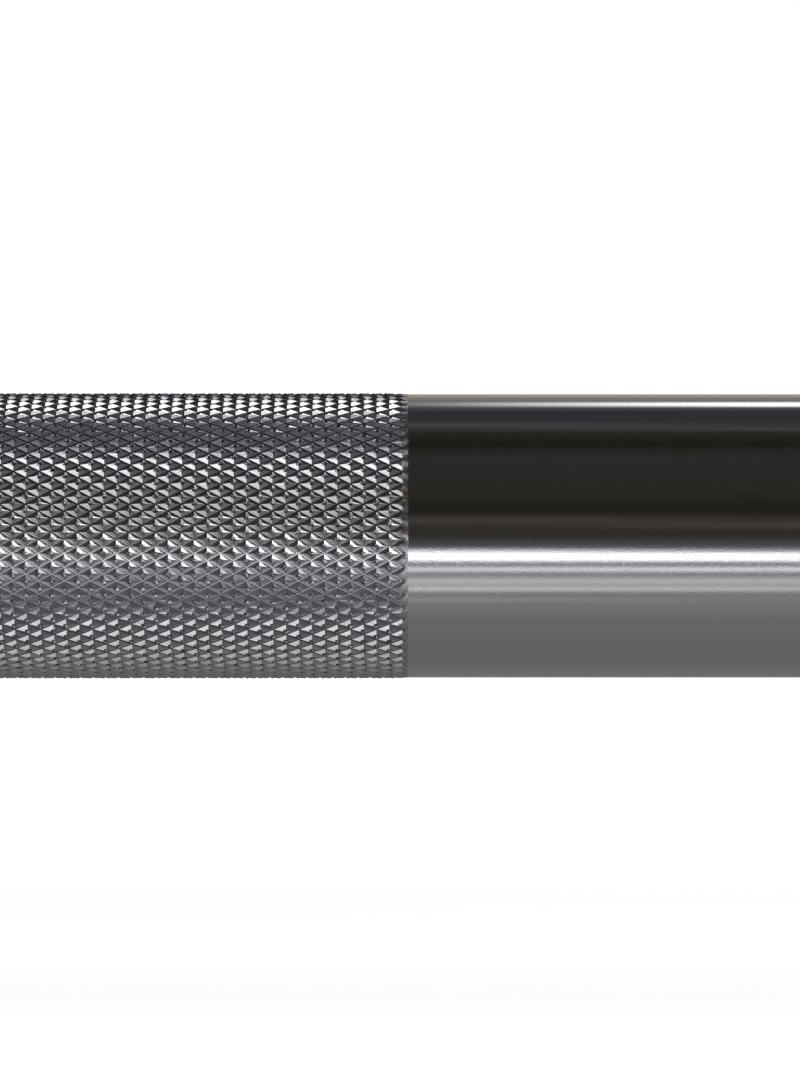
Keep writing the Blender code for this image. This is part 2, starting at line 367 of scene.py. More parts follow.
def knurlTree():
    tree = bpy.data.node_groups.new("knurl", "GeometryNodeTree")
    sockets = {}
    for name, kind, value in [
        ("Geometry", "Geometry", None), ("End shape", "Object", None), ("Material", "Material", None),
        ("Half diamonds", "Int", knurl["centreHalves"]), ("Rows round", "Int", knurl["rowsAround"]),
        ("Ends smooth", "Bool", True), ("Half length", "Float", knurl["halfLength"]),
        ("Half row", "Float", knurl["halfRow"]), ("Smooth end", "Float", 0.0), ("Direction", "Float", 1.0),
        ("Floor radius", "Float", knurl["floorRadius"]), ("First angle", "Float", knurl["firstAngle"]),
        ("Ragged", "Float", knurl["ragged"]), ("Ragged scale", "Float", knurl["raggedScale"]),
        ("Seed", "Float", knurl["raggedSeed"]), ("Merge distance", "Float", knurl["mergeDistance"]),
    ]:
        socket = tree.interface.new_socket(name=name, in_out="INPUT", socket_type="NodeSocket" + kind)
        if value is not None:
            socket.default_value = value
        sockets[name] = socket.identifier
    tree.interface.new_socket(name="Geometry", in_out="OUTPUT", socket_type="NodeSocketGeometry")
    given = addNode(tree, "NodeGroupInput").outputs

    def calc(operation, *values):
        return mathNode(tree, operation, *values)

    # Points on two offset grids: every second column of diamonds sits half a row round
    rows = given["Rows round"]
    columns = calc("SUBTRACT", calc("ADD", given["Half diamonds"], 1.0), given["Ends smooth"])
    count = calc("MULTIPLY", columns, rows)
    index = addNode(tree, "GeometryNodeInputIndex").outputs[0]
    before = calc("FLOOR", calc("DIVIDE", calc("ADD", index, 0.5), rows))
    row = calc("SUBTRACT", index, calc("MULTIPLY", before, rows))
    # Column 0, at the smooth end, holds end shapes; a plain length has cut diamonds there instead
    column = calc("ADD", before, given["Ends smooth"])
    odd = calc("MODULO", column, 2.0)
    across = calc("MULTIPLY", column, calc("MULTIPLY", given["Half length"], -1.0))
    turns = calc("ADD", calc("MULTIPLY", row, 2.0), odd)
    around = calc("MULTIPLY", turns, given["Half row"])
    gridPlace = addNode(tree, "ShaderNodeCombineXYZ", {"X": across, "Y": around}).outputs[0]
    points = addNode(tree, "GeometryNodePoints", {"Count": count, "Position": gridPlace})
    cells = addNode(tree, "GeometryNodeInstanceOnPoints", {
        "Points": points.outputs[0], "Instance": given["Geometry"],
    })
    cells = addNode(tree, "GeometryNodeRealizeInstances", {"Geometry": cells.outputs[0]})

    # Halves of diamonds that reach past a plain end are cut off
    position = addNode(tree, "GeometryNodeInputPosition").outputs[0]
    along = addNode(tree, "ShaderNodeSeparateXYZ", {0: position}).outputs["X"]
    length = calc("MULTIPLY", given["Half diamonds"], given["Half length"])
    tooFar = calc("LESS_THAN", along, calc("SUBTRACT", calc("MULTIPLY", length, -1.0), hair))
    isPlain = calc("SUBTRACT", 1.0, given["Ends smooth"])
    pastEnd = calc("MULTIPLY", calc("GREATER_THAN", along, hair), isPlain)
    cells = addNode(tree, "GeometryNodeDeleteGeometry", {
        "Geometry": cells.outputs[0], "Selection": calc("MAXIMUM", tooFar, pastEnd),
    }, domain="FACE")

    # One end shape for each diamond of the last column
    endPlace = addNode(tree, "ShaderNodeCombineXYZ", {
        "Y": calc("MULTIPLY", calc("MULTIPLY", index, 2.0), given["Half row"]),
    }).outputs[0]
    endPoints = addNode(tree, "GeometryNodePoints", {
        "Count": calc("MULTIPLY", rows, given["Ends smooth"]), "Position": endPlace,
    })
    endShape = addNode(tree, "GeometryNodeObjectInfo", {"Object": given["End shape"]})
    ends = addNode(tree, "GeometryNodeInstanceOnPoints", {
        "Points": endPoints.outputs[0], "Instance": endShape.outputs["Geometry"],
    })
    ends = addNode(tree, "GeometryNodeRealizeInstances", {"Geometry": ends.outputs[0]})
    flat = addNode(tree, "GeometryNodeJoinGeometry")
    tree.links.new(cells.outputs[0], flat.inputs[0])
    tree.links.new(ends.outputs[0], flat.inputs[0])

    parts = addNode(tree, "ShaderNodeSeparateXYZ", {0: position}).outputs
    tip = addNode(tree, "GeometryNodeInputNamedAttribute", {"Name": "tip"}, data_type="FLOAT").outputs[0]

    # Wrap round the bar, then push the tips about by a fixed noise
    angle = calc("ADD", given["First angle"], calc("DIVIDE", parts["Y"], bar["smoothRadius"]))
    radius = calc("ADD", given["Floor radius"], parts["Z"])
    wrapped = addNode(tree, "ShaderNodeCombineXYZ", {
        "X": calc("ADD", given["Smooth end"], calc("MULTIPLY", given["Direction"], parts["X"])),
        "Y": calc("MULTIPLY", radius, calc("MULTIPLY", calc("COSINE", angle), -1.0)),
        "Z": calc("MULTIPLY", radius, calc("SINE", angle)),
    }).outputs[0]
    noise = addNode(tree, "ShaderNodeTexNoise", {
        "Vector": wrapped, "W": given["Seed"], "Scale": given["Ragged scale"], "Detail": 1.0,
    }, noise_dimensions="4D")
    centred = addNode(tree, "ShaderNodeVectorMath", {
        0: noise.outputs["Color"], 1: (0.5, 0.5, 0.5),
    }, operation="SUBTRACT").outputs[0]
    amount = calc("MULTIPLY", tip, given["Ragged"])
    push = addNode(tree, "ShaderNodeVectorMath", {
        0: centred, "Scale": calc("MULTIPLY", amount, 2.0),
    }, operation="SCALE").outputs[0]
    placed = addNode(tree, "GeometryNodeSetPosition", {
        "Geometry": flat.outputs[0], "Position": wrapped, "Offset": push,
    })
    merged = addNode(tree, "GeometryNodeMergeByDistance", {
        "Geometry": placed.outputs[0], "Distance": given["Merge distance"],
    })
    real = addNode(tree, "GeometryNodeRealizeInstances", {"Geometry": merged.outputs[0]})
    painted = addNode(tree, "GeometryNodeSetMaterial", {
        "Geometry": real.outputs[0], "Material": given["Material"],
    })
    addNode(tree, "NodeGroupOutput", {"Geometry": painted.outputs[0]})
    return tree, sockets


def closeSkin(data):
    # Turn the two open ends inwards and join them, so that the skin is a closed ring
    mesh = bmesh.new()
    mesh.from_mesh(data)
    outside = set(mesh.faces)
    openEdges = [edge for edge in mesh.edges if edge.is_boundary]
    for edge in openEdges:
        edge.smooth = False
    walls = bmesh.ops.extrude_edge_only(mesh, edges=openEdges)["geom"]
    inner = [item for item in walls if isinstance(item, bmesh.types.BMVert)]
    for vert in inner:
        radial = Vector((0.0, vert.co.y, vert.co.z)).normalized() * knurl["innerRadius"]
        vert.co.y, vert.co.z = radial.y, radial.z
    loops = [edge for edge in mesh.edges if edge.is_boundary]
    bmesh.ops.bridge_loops(mesh, edges=loops)
    for face in mesh.faces:
        if face not in outside:
            face.smooth = False
    bmesh.ops.triangulate(mesh, faces=mesh.faces)
    bmesh.ops.recalc_face_normals(mesh, faces=mesh.faces)
    mesh.to_mesh(data)
    mesh.free()


def makeKnurl(material):
    tree, sockets = knurlTree()
    diamond = diamondMesh()
    endObject = newObject("knurl end", endMesh())
    pieces = knurlPieces
    for name, smoothEnd, direction, halves, endsSmooth in pieces:
        source = newObject(name, diamond.copy())
        modifier = source.modifiers.new("knurl", "NODES")
        modifier.node_group = tree
        for socket, value in {
            "End shape": endObject, "Material": material, "Half diamonds": halves,
            "Ends smooth": endsSmooth, "Smooth end": smoothEnd, "Direction": float(direction),
        }.items():
            modifier[sockets[socket]] = value
        evaluated = source.evaluated_get(bpy.context.evaluated_depsgraph_get())
        made = bpy.data.meshes.new_from_object(evaluated)
        made.name = name
        source.modifiers.remove(modifier)
        source.data = made
        made.attributes.remove(made.attributes["tip"])
        closeSkin(made)
        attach(source, "shaft")
        print(name, len(made.polygons), "faces")
    bpy.data.objects.remove(endObject)


def newMaterial(name):
    material = bpy.data.materials.new(name)
    material.use_nodes = True
    return material, material.node_tree, material.node_tree.nodes["Principled BSDF"]


knurledLook = {
    "unshadedClean": (0.60, 0.60, 0.605, 1.0),
    "shadedAndDull": (0.12, 0.12, 0.125, 1.0),
    "roughness": (0.06, 0.15),
    "dullRoughness": 0.7,  # added where the share of bright chrome is nought
    "grainScale": 5200.0,
    "grainSpread": (0.3, 0.7),  # the part of the noise's range that is stretched over the roughness
    "grainHeight": 1.8e-5,
    "tornScale": 4600.0,  # torn metal in the punched pits, as bumps, and painted shade in their hollows
    "tornHeight": 1.0e-4,
    "pitShadeSpread": (0.56, 0.46),  # painted shade: a pit is darkened where the torn noise is below the second value
    "pitShadeDepth": 0.95,
    "pitRoughness": 0.1,
    "markWithin": 0.02,
}


def knurledChrome():
    material, tree, shader = newMaterial("knurled chrome")
    shader.inputs["Metallic"].default_value = 1.0
    place = addNode(tree, "ShaderNodeTexCoord").outputs["Object"]
    grain = noiseNode(tree, place, knurledLook["grainScale"], 3.0, 0.7)
    # The face share darkens the colour: painted shade on the grooves' feet and end walls, and a darker,
    # rougher finish elsewhere
    unshadedClean = addNode(tree, "ShaderNodeAttribute", attribute_name="unshadedClean").outputs["Fac"]
    torn = noiseNode(tree, place, knurledLook["tornScale"], 1.0)
    inPit = mathNode(tree, "COMPARE", unshadedClean, knurl["pitMark"], knurledLook["markWithin"])
    # Painted shade in the pits' torn hollows
    pitShade = rangeNode(tree, torn, knurledLook["pitShadeSpread"], (0.0, knurledLook["pitShadeDepth"]))
    share = mathNode(tree, "SUBTRACT", unshadedClean, mathNode(tree, "MULTIPLY", pitShade, inPit))
    colour = addNode(tree, "ShaderNodeMix", {0: share}, data_type="RGBA")
    colour.inputs[6].default_value = knurledLook["shadedAndDull"]
    colour.inputs[7].default_value = knurledLook["unshadedClean"]
    tree.links.new(colour.outputs[2], shader.inputs["Base Color"])
    rough = rangeNode(tree, grain, knurledLook["grainSpread"], knurledLook["roughness"])
    shadedAndDull = mathNode(tree, "SUBTRACT", 1.0, unshadedClean)
    worn = mathNode(tree, "MULTIPLY", shadedAndDull, knurledLook["dullRoughness"])
    worn = mathNode(tree, "MULTIPLY_ADD", inPit, knurledLook["pitRoughness"], worn)
    tree.links.new(mathNode(tree, "ADD", rough, worn), shader.inputs["Roughness"])
    height = mathNode(tree, "MULTIPLY", grain, knurledLook["grainHeight"])
    tornInPit = mathNode(tree, "MULTIPLY", torn, inPit)
    height = mathNode(tree, "MULTIPLY_ADD", tornInPit, knurledLook["tornHeight"], height)
    addBump(tree, shader, height)
    return material


polishedLook = {
    "colour": (0.60, 0.60, 0.60, 1.0),
    "roughness": (0.020, 0.055),
    # How fine each noise is, per metre along the bar and across it, and its heights in metres
    "grain": (6000.0, 5200.0),
    "grainHeight": 3.6e-6,
    "waves": (22.0, 240.0),
    "waveHeight": 3.2e-6,
    "ticks": (7500.0, 1100.0),
    "tickShare": (0.64, 0.74),
    "tickDepth": 0.1e-6,
    "tickRoughness": 0.13,
    "patches": (60.0, 160.0),
    "patchSpread": (0.35, 0.65),
}


def polishedChrome():
    # Ground and polished round the bar: a fine grain, short ticks across the bar, and long low waves
    material, tree, shader = newMaterial("polished chrome")
    shader.inputs["Metallic"].default_value = 1.0
    shader.inputs["Base Color"].default_value = polishedLook["colour"]
    place = addNode(tree, "ShaderNodeTexCoord").outputs["Object"]

    def noise(name, detail):
        along, across = polishedLook[name]
        stretched = addNode(tree, "ShaderNodeMapping", {"Vector": place, "Scale": (along, across, across)})
        return noiseNode(tree, stretched.outputs[0], 1.0, detail)

    grain = noise("grain", 1.0)
    waves = noise("waves", 1.0)
    ticks = rangeNode(tree, noise("ticks", 1.0), polishedLook["tickShare"])
    rough = rangeNode(tree, noise("patches", 2.0), polishedLook["patchSpread"], polishedLook["roughness"])
    matt = mathNode(tree, "MULTIPLY_ADD", ticks, polishedLook["tickRoughness"], rough)
    tree.links.new(matt, shader.inputs["Roughness"])
    height = mathNode(tree, "MULTIPLY", grain, polishedLook["grainHeight"])
    height = mathNode(tree, "MULTIPLY_ADD", waves, polishedLook["waveHeight"], height)
    height = mathNode(tree, "MULTIPLY_ADD", ticks, -polishedLook["tickDepth"], height)
    addBump(tree, shader, height)
    return material


# What all turned metals share
lathe = {
    "slowChange": 40.0,
    "scratchScale": (2400.0, 90.0, 160.0),
    "scratchTurn": (0.0, 0.3, 0.5),
    "scratchShare": (0.64, 0.72),
    "spread": (0.35, 0.65),
    "markDepth": 0.00003,
}


def turnedPlace(tree, marksPerMetre):
    # Coordinates for lathe marks: rings on a face, lines round a cylinder, and a slow change on the way
    place = addNode(tree, "ShaderNodeTexCoord").outputs["Object"]
    parts = addNode(tree, "ShaderNodeSeparateXYZ", {0: place}).outputs
    flat = addNode(tree, "ShaderNodeCombineXYZ", {"Y": parts["Y"], "Z": parts["Z"]}).outputs[0]
    radius = addNode(tree, "ShaderNodeVectorMath", {0: flat}, operation="LENGTH").outputs["Value"]
    across = mathNode(tree, "ADD", parts["Y"], parts["Z"])
    return place, addNode(tree, "ShaderNodeCombineXYZ", {
        "X": mathNode(tree, "MULTIPLY", parts["X"], marksPerMetre),
        "Y": mathNode(tree, "MULTIPLY", radius, marksPerMetre),
        "Z": mathNode(tree, "MULTIPLY", across, lathe["slowChange"]),
    }).outputs[0]


def twoColours(tree, noise, spread, look):
    colour = addNode(tree, "ShaderNodeValToRGB", {0: noise})
    for element, place, name in zip(colour.color_ramp.elements, spread, ("dark", "light")):
        element.position = place
        element.color = (*look[name], 1.0)
    return colour.outputs[0]


def turnedMetal(name, look):
    # A lathe-turned metal: fine rings, cloudy patches and a few stray scratches
    material, tree, shader = newMaterial(name)
    shader.inputs["Metallic"].default_value = 1.0
    place, rings = turnedPlace(tree, look["marksPerMetre"])
    marks = noiseNode(tree, rings, 1.0, 5.0, 0.7)
    clouds = noiseNode(tree, place, look["cloudScale"], 4.0)
    scratchPlace = addNode(tree, "ShaderNodeMapping", {
        "Vector": place, "Scale": lathe["scratchScale"], "Rotation": lathe["scratchTurn"],
    })
    scratch = noiseNode(tree, scratchPlace.outputs[0], 1.0, 2.0, 0.5)
    scratched = rangeNode(tree, scratch, lathe["scratchShare"], (0.0, look["scratches"]))
    halfMarks = mathNode(tree, "MULTIPLY", marks, 0.5)
    halfClouds = mathNode(tree, "MULTIPLY", clouds, 0.5)
    wear = mathNode(tree, "ADD", halfMarks, halfClouds)
    rough = rangeNode(tree, wear, lathe["spread"], look["roughness"])
    tree.links.new(mathNode(tree, "ADD", rough, scratched, clamp=True), shader.inputs["Roughness"])
    tree.links.new(twoColours(tree, clouds, lathe["spread"], look), shader.inputs["Base Color"])
    height = mathNode(tree, "SUBTRACT", marks, scratched)
    addBump(tree, shader, height, look["bump"], lathe["markDepth"])
    return material


turnedLooks = {
    "sleeve chrome": {
        "marksPerMetre": 3200.0, "cloudScale": 45.0, "scratches": 0.16, "roughness": (0.07, 0.16),
        "dark": (0.55, 0.55, 0.555), "light": (0.62, 0.62, 0.63), "bump": 0.18,
    },
    "collar chrome": {
        "marksPerMetre": 2600.0, "cloudScale": 60.0, "scratches": 0.10, "roughness": (0.06, 0.13),
        "dark": (0.56, 0.56, 0.565), "light": (0.62, 0.62, 0.63), "bump": 0.16,
    },
    "turned aluminium": {
        "marksPerMetre": 2200.0, "cloudScale": 90.0, "scratches": 0.12, "roughness": (0.22, 0.36),
        "dark": (0.70, 0.70, 0.71), "light": (0.80, 0.80, 0.81), "bump": 0.45,
    },
    "spring steel": {
        "marksPerMetre": 1500.0, "cloudScale": 240.0, "scratches": 0.14, "roughness": (0.26, 0.42),
        "dark": (0.26, 0.27, 0.30), "light": (0.42, 0.42, 0.43), "bump": 0.22,
    },
    "oiled bronze": {
        "marksPerMetre": 1800.0, "cloudScale": 150.0, "scratches": 0.10, "roughness": (0.24, 0.44),
        "dark": (0.44, 0.25, 0.10), "light": (0.66, 0.42, 0.20), "bump": 0.35,
    },
}


rubberLook = {
    "grainScale": 5200.0,
    "grainBump": 0.3,
    "grainDepth": 0.00005,
    "dustScale": 320.0,
    "dustSpread": (0.48, 0.78),
    "mattSpread": (0.3, 0.7),
    "dark": (0.012, 0.012, 0.013),
    "light": (0.060, 0.058, 0.055),
    "roughness": (0.48, 0.78),
}


def sealRubber():
    # Black rubber with a fine moulded grain and a little pale dust
    material, tree, shader = newMaterial("seal rubber")
    place = addNode(tree, "ShaderNodeTexCoord").outputs["Object"]
    grain = noiseNode(tree, place, rubberLook["grainScale"], 3.0)
    dust = noiseNode(tree, place, rubberLook["dustScale"], 5.0, 0.7)
    colour = twoColours(tree, dust, rubberLook["dustSpread"], rubberLook)
    tree.links.new(colour, shader.inputs["Base Color"])
    rough = rangeNode(tree, dust, rubberLook["mattSpread"], rubberLook["roughness"])
    tree.links.new(rough, shader.inputs["Roughness"])
    addBump(tree, shader, grain, rubberLook["grainBump"], rubberLook["grainDepth"])
    return material


def closedMesh(mesh, data, sharp):
    # Weld the mesh, turn its faces outwards, and shade it smooth up to this angle in degrees
    bmesh.ops.remove_doubles(mesh, verts=mesh.verts, dist=hair)
    bmesh.ops.recalc_face_normals(mesh, faces=mesh.faces)
    mesh.to_mesh(data)
    mesh.free()
    data.shade_smooth()
    data.set_sharp_from_angle(angle=math.radians(sharp))
    return data


def turnedMesh(name, profile, segments):
    # Spin a closed profile of (place along the bar, radius) round the bar's axis
    mesh = bmesh.new()
    verts = [mesh.verts.new((x, 0.0, r)) for x, r in profile]
    links = list(zip(verts, verts[1:]))
    if profile[0][1] > 0:
        links.append((verts[-1], verts[0]))
    edges = [mesh.edges.new(pair) for pair in links]
    bmesh.ops.spin(
        mesh, geom=verts + edges, cent=(0, 0, 0), axis=(1, 0, 0), angle=2 * math.pi, steps=segments
    )
    return closedMesh(mesh, bpy.data.meshes.new(name), 25.0)


shaftCore = {
    "segments": 256,
    "journalRadius": 13.0 * mm,
    "shoulder": 668.0 * mm,
    "shoulderCut": 0.3 * mm,
    "groove": 1070.25 * mm,
    "grooveWidth": 2.1 * mm,
    "grooveDepth": 1.0 * mm,
    "end": 1080.0 * mm,
    "endCut": 1.5 * mm,
    "lip": 0.015 * mm,  # the smooth shaft's edge next to a band
    "underKnurl": 0.02 * mm,  # how far the smooth shaft reaches under a band's end
}


def makeShaft(material):
    smooth, journal = bar["smoothRadius"], shaftCore["journalRadius"]
    neck, lip = knurl["neckRadius"], shaftCore["lip"]
    reach = knurl["endLength"] - shaftCore["underKnurl"]
    half = [(0.0, neck)]
    for first, last in (bar["centreBand"], bar["gripBand"], bar["endBand"]):
        start, end = first * mm - reach, last * mm + reach
        if first > 0:
            half += [(start - lip, smooth), (start, smooth - lip), (start, neck)]
        half += [(end, neck), (end, smooth - lip), (end + lip, smooth)]
    shoulder, cut = shaftCore["shoulder"], shaftCore["shoulderCut"]
    groove, depth = shaftCore["groove"], shaftCore["grooveDepth"]
    grooveEnd = groove + shaftCore["grooveWidth"]
    end, endCut = shaftCore["end"], shaftCore["endCut"]
    half += [
        (shoulder - cut, smooth), (shoulder, smooth - cut), (shoulder, journal),
        (groove, journal), (groove, journal - depth),
        (grooveEnd, journal - depth), (grooveEnd, journal),
        (end - endCut, journal), (end, journal - endCut), (end, 0.0),
    ]
    profile = [(-x, r) for x, r in reversed(half)] + half[1:]
    data = turnedMesh("shaft_core", profile, shaftCore["segments"])
    data.materials.append(material)
    piece = newObject("shaft_core", data)
    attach(piece, "shaft")
    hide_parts("shaft")


def eased(profile, steps=4):
    # Round the corners of a profile given as (place along, radius, rounding), all in millimetres
    made = []
    count = len(profile)
    for i, (x, r, rounding) in enumerate(profile):
        here = Vector((x, r))
        if rounding == 0:
            made.append(here)
            continue
        before = (Vector(profile[i - 1][:2]) - here).normalized()
        after = (Vector(profile[(i + 1) % count][:2]) - here).normalized()
        half = before.angle(after) / 2
        reach = rounding / math.tan(half)
        centre = here + (before + after).normalized() * rounding / math.sin(half)
        start = here + before * reach - centre
        end = here + after * reach - centre
        turn = start.angle_signed(end)
        for step in range(steps + 1):
            angle = -turn * step / steps
            c, s = math.cos(angle), math.sin(angle)
            made.append(centre + Vector((start.x * c - start.y * s, start.x * s + start.y * c)))
    return [(point.x * mm, point.y * mm) for point in made]


# Profiles of the turned pieces on the right-hand side, in millimetres from the middle of the bar:
# (along, radius, rounding of that corner). The left side is their mirror image.
tube = {
    "segments": 128,
    "profile": [
        (662.3, 16.3, 0), (662.3, 22.0, 0.4), (684.3, 22.0, 0), (684.3, 25.0, 0.25), (1097.5, 25.0, 2.2),
        (1100.0, 22.5, 0.2), (1100.0, 22.0, 0.2), (1099.0, 21.0, 0.2), (1095.55, 21.0, 0), (1095.55, 22.2, 0),
        (1093.45, 22.2, 0), (1093.45, 21.0, 0), (1088.0, 21.0, 0), (1088.0, 16.3, 0.2),
    ],
}
collar = {
    "segments": 144,
    "profile": [
        (655.0, 18.6, 0.2), (655.0, 24.5, 0.15), (655.35, 24.9, 0.15), (655.35, 33.1, 0.15),
        (655.0, 33.5, 0.15), (655.0, 36.5, 1.2), (657.5, 39.0, 1.2), (682.5, 39.0, 1.2), (685.0, 36.5, 1.2),
        (685.0, 25.25, 0.15), (684.0, 25.25, 0), (684.0, 22.15, 0), (662.0, 22.15, 0), (662.0, 17.9, 0),
        (655.7, 17.9, 0.2),
    ],
}
seal = {
    "segments": 96,
    "profile": [
        (655.6, 17.2, 0.3), (656.0, 17.75, 0.3), (662.0, 17.75, 0.2), (662.0, 15.9, 0.2), (658.0, 15.7, 0.3),
        (657.2, 14.8, 0.15), (656.5, 14.8, 0.15), (656.1, 15.7, 0.3), (655.6, 16.2, 0.2),
    ],
}
cap = {
    "segments": 128,
    "profile": [
        (1088.3, 0.0, 0), (1088.3, 20.1, 0.2), (1088.9, 20.7, 0.2), (1092.7, 20.7, 0.3), (1093.3, 20.1, 0.3),
        (1093.3, 16.2, 0.3), (1092.3, 15.2, 0.3), (1092.3, 11.3, 0.1), (1092.05, 11.05, 0.1),
        (1092.05, 10.75, 0.1), (1092.3, 10.5, 0.1), (1092.3, 2.3, 0.1), (1091.2, 0.9, 0.1), (1090.2, 0.9, 0),
        (1090.0, 0.0, 0),
    ],
}
innerBushing = {"start": 670.6, "end": 740.6, "inner": 13.3, "outer": 16.0, "edge": 0.5}
outerBushing = {"start": 1006.0, "end": 1066.0, "inner": 13.3, "outer": 16.0, "edge": 0.5}
innerWasher = {"start": 668.3, "end": 670.3, "inner": 13.3, "outer": 16.0, "edge": 0.25}
outerWasher = {"start": 1068.1, "end": 1070.1, "inner": 13.3, "outer": 16.0, "edge": 0.25}
waveSpring = {
    "start": 1066.75, "end": 1067.35, "inner": 13.3, "outer": 16.0, "edge": 0.12, "waves": 3, "height": 0.45,
}
shaftRing = {
    "start": 1070.4, "thickness": 1.8, "seat": 12.3, "edge": 14.8, "ear": 15.7, "opening": 24, "round": 0.18,
}
capRing = {
    "start": 1093.6, "thickness": 1.8, "seat": 21.9, "edge": 18.8, "ear": 16.6, "opening": 30, "round": 0.20,
}
# What both open rings share: angles in degrees, and how much narrower a ring is next to its gap
ringEars = {"angle": 15, "shoulder": 4, "shoulderSteps": 6, "holeSteps": 24}
ringBend = {"steps": 120, "narrowing": 0.30}


def mirrored(data):
    # The left-hand copy, with its faces turned the right way out again
    mesh = bmesh.new()
    mesh.from_mesh(data)
    for vert in mesh.verts:
        vert.co.x = -vert.co.x
    bmesh.ops.recalc_face_normals(mesh, faces=mesh.faces)
    mesh.to_mesh(data)
    mesh.free()


def finishPiece(name, data, material, side, body, node):
    if side < 0:
        mirrored(data)
    data.materials.clear()
    data.materials.append(material)
    piece = newObject(name, data)
    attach(piece, body)
    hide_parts(node)


def plainRing(name, ring, segments=128):
    edge = ring["edge"]
    profile = eased([
        (ring["start"], ring["inner"], edge), (ring["start"], ring["outer"], edge),
        (ring["end"], ring["outer"], edge), (ring["end"], ring["inner"], edge),
    ], steps=2)
    data = turnedMesh(name, profile, segments)
    if "waves" in ring:
        for vert in data.vertices:
            angle = math.atan2(vert.co.z, vert.co.y)
            vert.co.x += ring["height"] * mm * math.sin(ring["waves"] * angle)
    return data


def openRing(name, ring):
    # An open spring ring that is widest opposite its gap, with a plier hole in each of its two ears
    half = math.radians(ring["opening"]) / 2
    earAngle = math.radians(ringEars["angle"])
    shoulder = math.radians(ringEars["shoulder"])
    steps, shoulderSteps, holeSteps = ringBend["steps"], ringEars["shoulderSteps"], ringEars["holeSteps"]

    def freeEdge(angle):
        fromGap = min(angle, 2 * math.pi - angle)
        share = 1 - ringBend["narrowing"] * (1 + math.cos(fromGap)) / 2
        plain = ring["seat"] + (ring["edge"] - ring["seat"]) * share
        blend = min(1.0, max(0.0, (fromGap - half - earAngle) / shoulder))
        blend = blend * blend * (3 - 2 * blend)
        return ring["ear"] * (1 - blend) + plain * blend

    angles = [half + (2 * math.pi - 2 * half) * i / steps for i in range(steps + 1)]
    for i in range(1, shoulderSteps):
        step = shoulder * i / shoulderSteps
        angles += [half + earAngle + step, 2 * math.pi - half - earAngle - step]
    angles.sort()
    outline = [(a, ring["seat"]) for a in angles] + [(a, freeEdge(a)) for a in reversed(angles)]
    shape = bpy.data.curves.new(name, "CURVE")
    shape.dimensions = "2D"
    shape.fill_mode = "BOTH"
    shape.extrude = (ring["thickness"] / 2 - ring["round"]) * mm
    shape.bevel_depth = ring["round"] * mm
    shape.bevel_resolution = 1
    shape.offset = -ring["round"] * mm

    def closedLine(points):
        line = shape.splines.new("POLY")
        line.points.add(len(points) - 1)
        for point, (x, y) in zip(line.points, points):
            point.co = (x * mm, y * mm, 0.0, 1.0)
        line.use_cyclic_u = True

    closedLine([(r * math.sin(a), r * math.cos(a)) for a, r in outline])
    hole = abs(ring["ear"] - ring["seat"]) / 4
    middle = (ring["seat"] + ring["ear"]) / 2
    for end in (-1, 1):
        angle = end * (half + earAngle / 2)
        x, y = middle * math.sin(angle), middle * math.cos(angle)
        turn = [2 * math.pi * i / holeSteps for i in range(holeSteps)]
        closedLine([(x + hole * math.cos(t), y + hole * math.sin(t)) for t in turn])
    holder = newObject(name, shape)
    data = bpy.data.meshes.new_from_object(holder.evaluated_get(bpy.context.evaluated_depsgraph_get()))
    bpy.data.objects.remove(holder)
    # The outline's own Y points up, and its thickness lies along the bar
    at = (ring["start"] + ring["thickness"] / 2) * mm
    for vert in data.vertices:
        x, y, z = vert.co
        vert.co = (at + z, x, y)
    mesh = bmesh.new()
    mesh.from_mesh(data)
    return closedMesh(mesh, data, 40.0)


def makeSleeves():
    looks = {name: turnedMetal(name, look) for name, look in turnedLooks.items()}
    rubber = sealRubber()
    for hand, side in (("left", -1), ("right", 1)):
        turned = [
            ("tube", tube, "sleeve_tube", "sleeve chrome", "hard_chrome"),
            ("stop_collar", collar, "collar", "collar chrome", "hard_chrome"),
            ("lip_seal", seal, "dust_seal", None, "black_rubber"),
            ("cap", cap, "end_cap", "turned aluminium", "turned_aluminium"),
        ]
        for name, shape, node, look, slot in turned:
            data = turnedMesh(f"{hand}_{name}", eased(shape["profile"]), shape["segments"])
            material = looks[look] if look else rubber
            finishPiece(f"{hand}_{name}", data, material, side, f"{hand}_sleeve", f"{hand}_{node}")
        rings = [
            ("bush_inner", innerBushing, "inner_bushing", "sleeve", "oiled bronze", "oiled_bronze"),
            ("bush_outer", outerBushing, "outer_bushing", "sleeve", "oiled bronze", "oiled_bronze"),
            ("spring_washer", waveSpring, "wave_spring", "sleeve", "spring steel", "spring_steel"),
            ("washer_inner", innerWasher, "inner_thrust_washer", None, "spring steel", "spring_steel"),
            ("washer_outer", outerWasher, "outer_thrust_washer", None, "spring steel", "spring_steel"),
        ]
        for name, ring, node, body, look, slot in rings:
            data = plainRing(f"{hand}_{name}", ring)
            body = f"{hand}_{body or node}"  # a thrust washer is a body of its own
            finishPiece(f"{hand}_{name}", data, looks[look], side, body, f"{hand}_{node}")
        openRings = [
            ("shaft_ring", shaftRing, "shaft_retaining_ring", "shaft"),
            ("cap_ring", capRing, "end_cap_snap_ring", f"{hand}_sleeve"),
        ]
        for name, ring, node, body in openRings:
            data = openRing(f"{hand}_{name}", ring)
            material = looks["spring steel"]
            finishPiece(f"{hand}_{name}", data, material, side, body, f"{hand}_{node}")


knurlFinish = knurledChrome()
shaftFinish = polishedChrome()
makeShaft(shaftFinish)
makeKnurl(knurlFinish)
print("shaft and knurl made")
makeSleeves()
print("sleeves made")


floorSettings = {
    "height": -39.05 * mm,
    "size": 12.0,
    "colour": (0.86, 0.86, 0.86, 1.0),
    "roughness": 0.9,
    "lift": 0.45,  # added for the camera alone, so that the lit floor reads as white paper
}


